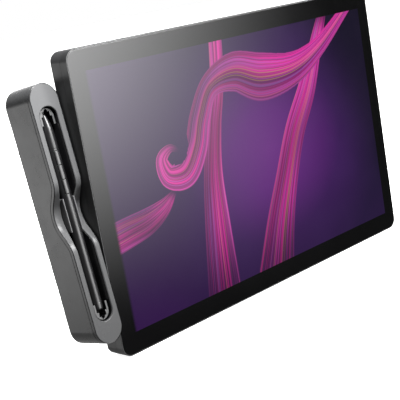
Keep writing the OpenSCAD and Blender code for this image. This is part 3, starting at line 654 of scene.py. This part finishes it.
def trim_ring(material, shadow_gap, flank):
    """The trim: grey on its face and lip, with black faces in the seams below its flank and beside its rim,
    painted shade for those gaps.
    """
    face_look, shadow_look, flank_look = range(3)
    inner_r, outer_r = 1.1 * MM, 0.2 * MM
    seat_in, flank_in, back_gap, seam_gap = 1.2 * MM, 0.1 * MM, 0.02 * MM, 0.5 * MM
    groove_in, groove_out, groove_depth, rim_drop = 0.25 * MM, 0.7 * MM, 1.1 * MM, 0.2 * MM
    lip_in = 1.25 * MM
    pairs = trim_outline()
    rows, looks = [], []

    def row(side, inset, below, drop=0.0, look=face_look):
        """Adds a row; the strip from it to the next one gets the look."""
        points = []
        for pair in pairs:
            a, b, normal_a, normal_b = pair[side == "inner"]
            into = inset if side == "inner" else -inset
            a, b = a + normal_a * into, b + normal_b * into
            points.append(HOLDER @ Vector((a, face_depth(b, below) + drop, b)))
        rows.append(points)
        looks.append(look)

    # Strips with the shadow look are painted shade: black faces in the seat, seam and groove gaps
    row("outer", seat_in, TRIM_T, -back_gap, shadow_look)
    row("outer", seat_in, TRIM_T, -seam_gap, shadow_look)
    row("outer", flank_in, TRIM_T, -seam_gap, flank_look)
    row("outer", 0, TRIM_T, -seam_gap - flank_in, flank_look)
    for inset, drop in quarter(groove_in, 3):
        row("outer", inset, 0, drop + rim_drop, flank_look)
    looks[-1] = shadow_look
    row("outer", groove_in, 0, groove_depth, shadow_look)
    row("outer", groove_out, 0, groove_depth, shadow_look)
    for inset, drop in quarter(outer_r, 3):
        row("outer", inset + groove_out, 0, drop)
    for drop, inset in quarter(inner_r, 6):
        row("inner", inset, 0, drop)
    row("inner", 0, LIP_T)
    row("inner", lip_in, LIP_T)
    row("inner", lip_in, TRIM_T, -back_gap)
    mesh = grid_mesh("trim_ring", rows)
    mark_sharp(mesh, 40)
    new_piece("trim_ring", mesh, "holder_trim", material, shadow_gap, flank)
    for i, polygon in enumerate(mesh.polygons):
        polygon.material_index = looks[i // len(pairs)]


# ------------------------------------------------------------------ pen

# Places along the pen from its middle, towards the nib
PEN_R = 4.9 * MM
TAIL_END = -83 * MM
TAIL_JOINT = -76 * MM
TAIL_PLUG_END = -72.6 * MM
GRIP_END = 57 * MM
SHOULDER = 70 * MM
NIB_START = 71 * MM
BORE_END = 74.5 * MM
NIB_BORE_END = 76 * MM
NOSE_TOP = 86.8 * MM
NIB_SHOULDER = 87.4 * MM


def pen_piece(name, node, section, material, steps=64):
    """A solid turned round the pen's axis: section holds (radius, height), its ends on the axis
    or joined to each other."""
    turn = [2 * math.pi * k / steps for k in range(steps)]
    rows = [[PEN @ Vector((r * math.cos(a), r * math.sin(a), h)) for a in turn] for r, h in section]
    mesh = grid_mesh(name, rows, close_rows=section[0][0] > 0)
    mark_sharp(mesh, 50)
    new_piece(name, mesh, node, material)


def pen_front(material):
    """The grip section with its nose, which curves in to the nib."""
    joint_step, edge_r, edge_start = 0.35 * MM, 0.2 * MM, GRIP_END + 0.4 * MM
    bore, nib_bore = 3.3 * MM, 0.95 * MM
    tip_r, tip_chamfer, tip_height, steps = 1.35 * MM, 0.2 * MM, 0.25 * MM, 22
    section = [(bore, GRIP_END), (PEN_R - joint_step, GRIP_END), (PEN_R - joint_step, GRIP_END + joint_step)]
    section += [(PEN_R - u, edge_start + v) for u, v in quarter(edge_r, 3)[::-1]]
    for i in range(steps + 1):
        t = i / steps
        r = tip_r + (PEN_R - tip_r) * math.cos(math.pi / 2 * t) ** 0.8
        section.append((r, SHOULDER + (NOSE_TOP - tip_height - SHOULDER) * t))
    section += [
        (tip_r - tip_chamfer, NOSE_TOP), (nib_bore, NOSE_TOP), (nib_bore, NIB_BORE_END), (bore, BORE_END)
    ]
    pen_piece("pen_front", "pen_grip", section, material)


def pen_end(material):
    """The tail cap with its rounded end and the plug that goes into the barrel."""
    r, end_r, plug_r = PEN_R - 0.08 * MM, 2.2 * MM, 3.4 * MM
    chamfer_in, chamfer_start = 0.25 * MM, TAIL_JOINT - 0.3 * MM
    section = [(0, TAIL_END)]
    section += [(r - u, TAIL_END + v) for u, v in quarter(end_r, 8)[::-1]]
    section += [
        (r, chamfer_start), (r - chamfer_in, TAIL_JOINT), (plug_r, TAIL_JOINT),
        (plug_r, TAIL_PLUG_END), (0, TAIL_PLUG_END),
    ]
    pen_piece("pen_end", "pen_tail_cap", section, material)


def pen_point(material):
    """The worn, rounded nib."""
    r, tip_height, steps = 0.85 * MM, 1.6 * MM, 8
    section = [(0, NIB_START), (r, NIB_START), (r, NIB_SHOULDER)]
    for i in range(1, steps):
        a = math.pi / 2 * i / steps
        section.append((r * math.cos(a) ** 0.9, NIB_SHOULDER + tip_height * math.sin(a)))
    section.append((0, NIB_SHOULDER + tip_height))
    pen_piece("pen_point", "pen_nib", section, material, steps=40)


# ------------------------------------------------------------------ carried-over CAD nodes

# Rounding in mm of the sharp edges of the nodes that are shown as they are
SOFT_EDGES = {
    "rear_cover": 0.2, "holder_shell": 0.15, "channel_liner": 0.15, "pen_cradles": 0.25, "pen_saddle": 0.5,
    "pen_barrel": 0.1, "side_switch_1": 0.35, "side_switch_2": 0.35, "side_switch_3": 0.35,
    "leg_left": 0.4, "leg_right": 0.4, "leg_pad_left": 0.5, "leg_pad_right": 0.5, "rubber_feet": 0.5,
    "holder_bracket": 0.35, "lock_knob": 0.4, "nib_tray": 0.15, "power_button": 0.25, "touch_switch": 0.2,
    "cover_screws": 0.12, "holder_screws": 0.12, "bracket_screws": 0.15, "pivot_bolt": 0.3,
    "friction_washers": 0.15, "vesa_plate": 0.2,
    **{f"express_key_{i}": 0.5 for i in range(1, 9)},
}


def soften(piece, width):
    """Rounds a CAD node's sharp edges with modifiers, which leave its own mesh as it is."""
    weld = piece.modifiers.new("weld", "WELD")
    weld.merge_threshold = 1e-6
    flat = piece.modifiers.new("flat", "DECIMATE")
    flat.decimate_type = "DISSOLVE"
    flat.angle_limit = math.radians(0.4)
    edge = piece.modifiers.new("edge", "BEVEL")
    edge.width = width * MM
    edge.segments = 2
    edge.limit_method = "ANGLE"
    edge.angle_limit = math.radians(28)
    edge.use_clamp_overlap = False
    edge.miter_outer = "MITER_ARC"
    edge.harden_normals = True
    weigh_normals(piece)


def dress(piece, material):
    """Gives all of a piece's slots the material."""
    if not piece.material_slots:
        piece.data.materials.append(material)
    for slot in piece.material_slots:
        slot.material = material


# ------------------------------------------------------------------ studio


def hang_lamp(data, place, target):
    """Puts up a lamp that lights surfaces but shows in no reflection."""
    lamp = bpy.data.objects.new(data.name, data)
    lamp.location = place
    lamp.rotation_euler = (Vector(target) - Vector(place)).to_track_quat("-Z", "Y").to_euler()
    lamp.visible_glossy = False
    lamp.visible_camera = False
    bpy.context.scene.collection.objects.link(lamp)


def lamps():
    """A broad lamp high behind the display and a soft spot from above on the holder."""
    back = bpy.data.lights.new("back", "AREA")
    back.shape = "RECTANGLE"
    back.size, back.size_y = 1.4, 1.2
    back.energy = 100
    hang_lamp(back, (0.5, 1.6, 1.0), (0, 0, 0))
    spot = bpy.data.lights.new("holder", "SPOT")
    spot.energy, spot.shadow_soft_size = 200, 0.05
    spot.spot_size, spot.spot_blend = math.radians(38), 1.0
    hang_lamp(spot, (-0.23, -0.30, 0.60), (-0.22, 0, 0.20))


def band(t, value, low, high, soft):
    """One between low and high, in degrees, with edges that fade over the soft width."""
    low_r, high_r, soft_r = (math.radians(v) for v in (low, high, soft))
    rise = t.spread(value, low_r - soft_r, low_r + soft_r)
    fall = t.spread(value, high_r + soft_r, high_r - soft_r)
    return t.times(rise, fall)


def surroundings():
    """A dark studio for all but the camera, which sees plain white: a softbox at the front right,
    one overhead, pale sheets at the back, and a lamp at the upper front right that only
    reflections show."""
    t = Tree("studio", "worlds", "OutputWorld")
    x, y, z = t.split(t.add("TexCoord", out="Generated"))
    azimuth = t.math("ARCTAN2", x, t.times(y, -1.0))
    height = t.math("ARCSINE", z)
    paths = t.add("LightPath").node.outputs
    to_camera = paths["Is Camera Ray"]
    softbox = t.times(band(t, azimuth, 2, 40.35, 11), band(t, height, -7.6, 60, 10.5), 12.6)
    overhead = t.times(
        t.spread(height, math.radians(34), math.radians(52)), t.spread(y, 0.25, -0.15), 2.0
    )
    to_left = t.spread(x, 0.1, -0.4)
    left_sheet = t.times(to_left, band(t, height, -17, 0, 6), 2.2)
    right_sheet = t.times(t.rest(to_left), band(t, height, 0, 22, 8), 1.3)
    under = t.spread(height, math.radians(-12), math.radians(-26), 0.0, 0.4)
    sheets = t.times(t.plus(left_sheet, right_sheet, under), t.spread(y, 0.1, 0.5))
    glint = t.times(
        band(t, azimuth, 14, 52, 8), band(t, height, 24, 44, 8), paths["Is Glossy Ray"], 65.0
    )
    ambient = 0.05
    light = t.plus(softbox, overhead, sheets, glint, ambient)
    strength = t.plus(to_camera, t.times(t.rest(to_camera), light))
    bpy.context.scene.world = t.finish(t.add("Background", Color=rgb(1, 1, 1), Strength=strength))


def floor():
    """A plain pale floor just under the display's lower edge."""
    size, clearance = 30, 0.6 * MM
    t = Tree("floor")
    cloud = t.noise(3, detail=2)
    base = t.mix(t.spread(cloud, 0.3, 0.7), rgb(0.80, 0.80, 0.80), rgb(0.82, 0.82, 0.82))
    material = t.surface(
        Base_Color=base, Roughness=0.9, Emission_Color=rgb(1, 1, 1), Emission_Strength=0.95,
        Specular_IOR_Level=0.0,
    )
    bpy.ops.mesh.primitive_plane_add(size=size, location=(0, 0, cad_box[0][2] - clearance))
    plane = bpy.context.object
    plane.name = "floor"
    plane.data.materials.append(material)
    plane.visible_glossy = False
    plane.visible_diffuse = False


def camera():
    """The view's own place and turn: from the front left, a little above, and rolled."""
    azimuth, elevation, roll = math.radians(42.89), math.radians(-11.87), math.radians(9.95)
    forward = Vector((
        math.sin(azimuth) * math.cos(elevation), math.cos(azimuth) * math.cos(elevation), math.sin(elevation)
    ))
    level = forward.cross(Vector((0, 0, 1))).normalized()
    upright = level.cross(forward)
    right = level * math.cos(roll) - upright * math.sin(roll)
    up = level * math.sin(roll) + upright * math.cos(roll)
    turn = Matrix((right, up, -forward)).transposed().to_4x4()
    data = bpy.data.cameras.new("camera")
    data.sensor_width = 36
    data.lens = 88.7
    data.clip_start = 0.01
    obj = bpy.data.objects.new("camera", data)
    obj.matrix_world = Matrix.Translation((-0.6868, -0.6684, 0.1620)) @ turn
    bpy.context.scene.collection.objects.link(obj)
    bpy.context.scene.camera = obj


# ------------------------------------------------------------------ everything together

MOULDED = {
    "frame_paint": dict(
        colour=(0.006, 0.0061, 0.0063), rough=0.42, grain=0.08, grain_size=0.25, shine=0.68
    ),
    "cover_plastic": dict(
        colour=(0.008, 0.0081, 0.0084), rough=0.42, grain=0.12, grain_size=0.4, shine=0.62
    ),
    "holder_body": dict(colour=(0.012, 0.0122, 0.0126), rough=0.24, grain=0.10, grain_size=0.3, wear=0.15),
    "holder_trim": dict(
        colour=(0.033, 0.0333, 0.034), rough=0.24, grain=0.05, grain_size=0.25, wear=0.1, shine=0.10
    ),
    "saddle_black": dict(colour=(0.034, 0.034, 0.035), rough=0.32, grain=0.03, wear=0.1),
    "pen_black": dict(colour=(0.003, 0.003, 0.0032), rough=0.35, grain=0.08, grain_size=0.2, wear=0.1),
    "switch_black": dict(colour=(0.0025, 0.0025, 0.0027), rough=0.32, grain=0.05, grain_size=0.2),
    "nib": dict(colour=(0.012, 0.012, 0.013), rough=0.5, grain=0.1, grain_size=0.15),
    "cast_metal": dict(colour=(0.34, 0.35, 0.37), rough=0.5, grain=0.3, grain_size=0.6, metallic=0.9),
    "fan_black": dict(colour=(0.022, 0.022, 0.024), rough=0.4, grain=0.1),
    "screw_black": dict(colour=(0.03, 0.03, 0.031), rough=0.35, grain=0.1, grain_size=0.15, metallic=0.8),
    "key_black": dict(colour=(0.024, 0.024, 0.026), rough=0.4, grain=0.08, grain_size=0.2),
}
BRUSHED = {
    "steel": dict(colour=(0.55, 0.56, 0.58)),
    "copper": dict(colour=(0.72, 0.36, 0.22), rough=0.3),
    "washer": dict(colour=(0.52, 0.42, 0.24)),
}
OTHERS = {
    "liner_gloss": glossy_black, "cradle_grey": cradle_rim, "lcd": cell_stack, "light_white": diffuser,
    "board": circuit_board, "flex": amber_film, "rubber_black": rubber,
}
finishes = {name: moulded(name, **look) for name, look in MOULDED.items()}
finishes.update({name: brushed(name, **look) for name, look in BRUSHED.items()})
finishes.update({name: make(name) for name, make in OTHERS.items()})

side_frame(finishes["frame_paint"])
glass_pane(cover_glass("screen_glass"))
trim_ring(finishes["holder_trim"], finishes["liner_gloss"], finishes["holder_body"])
pen_front(finishes["pen_black"])
pen_end(finishes["pen_black"])
pen_point(finishes["nib"])

for name, piece in NODES.items():
    if piece.hide_render:
        continue
    dress(piece, finishes[SLOT_OF[name]])
    for polygon in piece.data.polygons:
        polygon.use_smooth = name in SOFT_EDGES
    if name in SOFT_EDGES:
        soften(piece, SOFT_EDGES[name])

surroundings()
floor()
lamps()
camera()
bpy.context.scene.view_settings.view_transform = "Standard"
